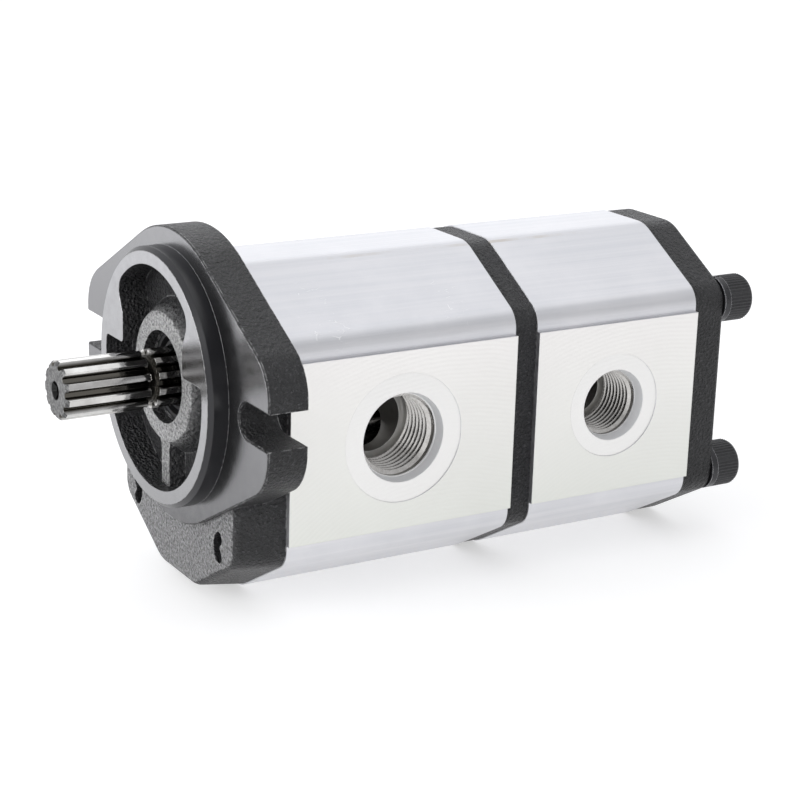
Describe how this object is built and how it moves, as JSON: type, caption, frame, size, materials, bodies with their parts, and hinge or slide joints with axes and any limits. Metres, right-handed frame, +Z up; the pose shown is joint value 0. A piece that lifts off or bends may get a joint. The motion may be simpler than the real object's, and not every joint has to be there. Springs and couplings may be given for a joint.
{
  "type": "hydraulic gear pump",
  "caption": "Tandem hydraulic gear pump with a slotted pilot flange, a splined drive shaft, threaded side ports and through-bolted aluminium housings.",
  "frame": {"origin": "centre of the mounting pilot, in the plane of the flange's machined face", "axes": "+X along the drive shaft from the flange to the rear cover (the splined end points to -X), +Z up, and -Y out of the two smaller ports"},
  "size_m": [0.2372, 0.1332, 0.1172],
  "materials": {
    "painted_iron": "satin black paint on rough cast iron, machined faces bare",
    "extruded_aluminium": "extruded, with milled port faces",
    "black_steel": "black oxide",
    "spring_steel": "plain spring steel",
    "ground_steel": "ground and lightly oiled",
    "gear_steel": "ground, oiled",
    "block_aluminium": "machined",
    "bush_bronze": "plain bearing bronze",
    "seal_rubber": "moulded",
    "strip_plastic": "moulded"
  },
  "bodies": {
    "casing": {"front_cover": "painted_iron", "intermediate_plate": "painted_iron", "end_cover": "painted_iron", "front_housing": "extruded_aluminium", "rear_housing": "extruded_aluminium", "through_bolts": "black_steel", "lock_washers": "spring_steel", "shaft_seal": "seal_rubber", "front_block_fore": "block_aluminium", "front_bushes_fore": "bush_bronze", "front_block_aft": "block_aluminium", "front_bushes_aft": "bush_bronze", "rear_block_fore": "block_aluminium", "rear_bushes_fore": "bush_bronze", "rear_block_aft": "block_aluminium", "rear_bushes_aft": "bush_bronze", "pressure_seal_1": "seal_rubber", "backup_strips_1": "strip_plastic", "section_seal_1": "seal_rubber", "dowels_1": "spring_steel", "pressure_seal_2": "seal_rubber", "backup_strips_2": "strip_plastic", "section_seal_2": "seal_rubber", "dowels_2": "spring_steel", "pressure_seal_3": "seal_rubber", "backup_strips_3": "strip_plastic", "section_seal_3": "seal_rubber", "dowels_3": "spring_steel", "pressure_seal_4": "seal_rubber", "backup_strips_4": "strip_plastic", "section_seal_4": "seal_rubber", "dowels_4": "spring_steel"},
    "drive_line": {"drive_shaft": "ground_steel", "coupling_shaft": "gear_steel", "rear_drive_gear": "gear_steel"},
    "front_driven": {"front_driven_gear": "gear_steel"},
    "rear_driven": {"rear_driven_gear": "gear_steel"}
  },
  "joints": [
    {"name": "shaft_spin", "type": "hinge", "parent": "casing", "child": "drive_line", "pos_m": [0, 0, 0], "axis": [1, 0, 0], "continuous": true},
    {"name": "front_driven_spin", "type": "hinge", "parent": "casing", "child": "front_driven", "pos_m": [0, 0, -0.033], "axis": [1, 0, 0], "continuous": true},
    {"name": "rear_driven_spin", "type": "hinge", "parent": "casing", "child": "rear_driven", "pos_m": [0, 0, -0.033], "axis": [1, 0, 0], "continuous": true}
  ],
  "couplings": [
    {"joint": "front_driven_spin", "follows": "shaft_spin", "ratio": -1},
    {"joint": "rear_driven_spin", "follows": "shaft_spin", "ratio": -1}
  ]
}
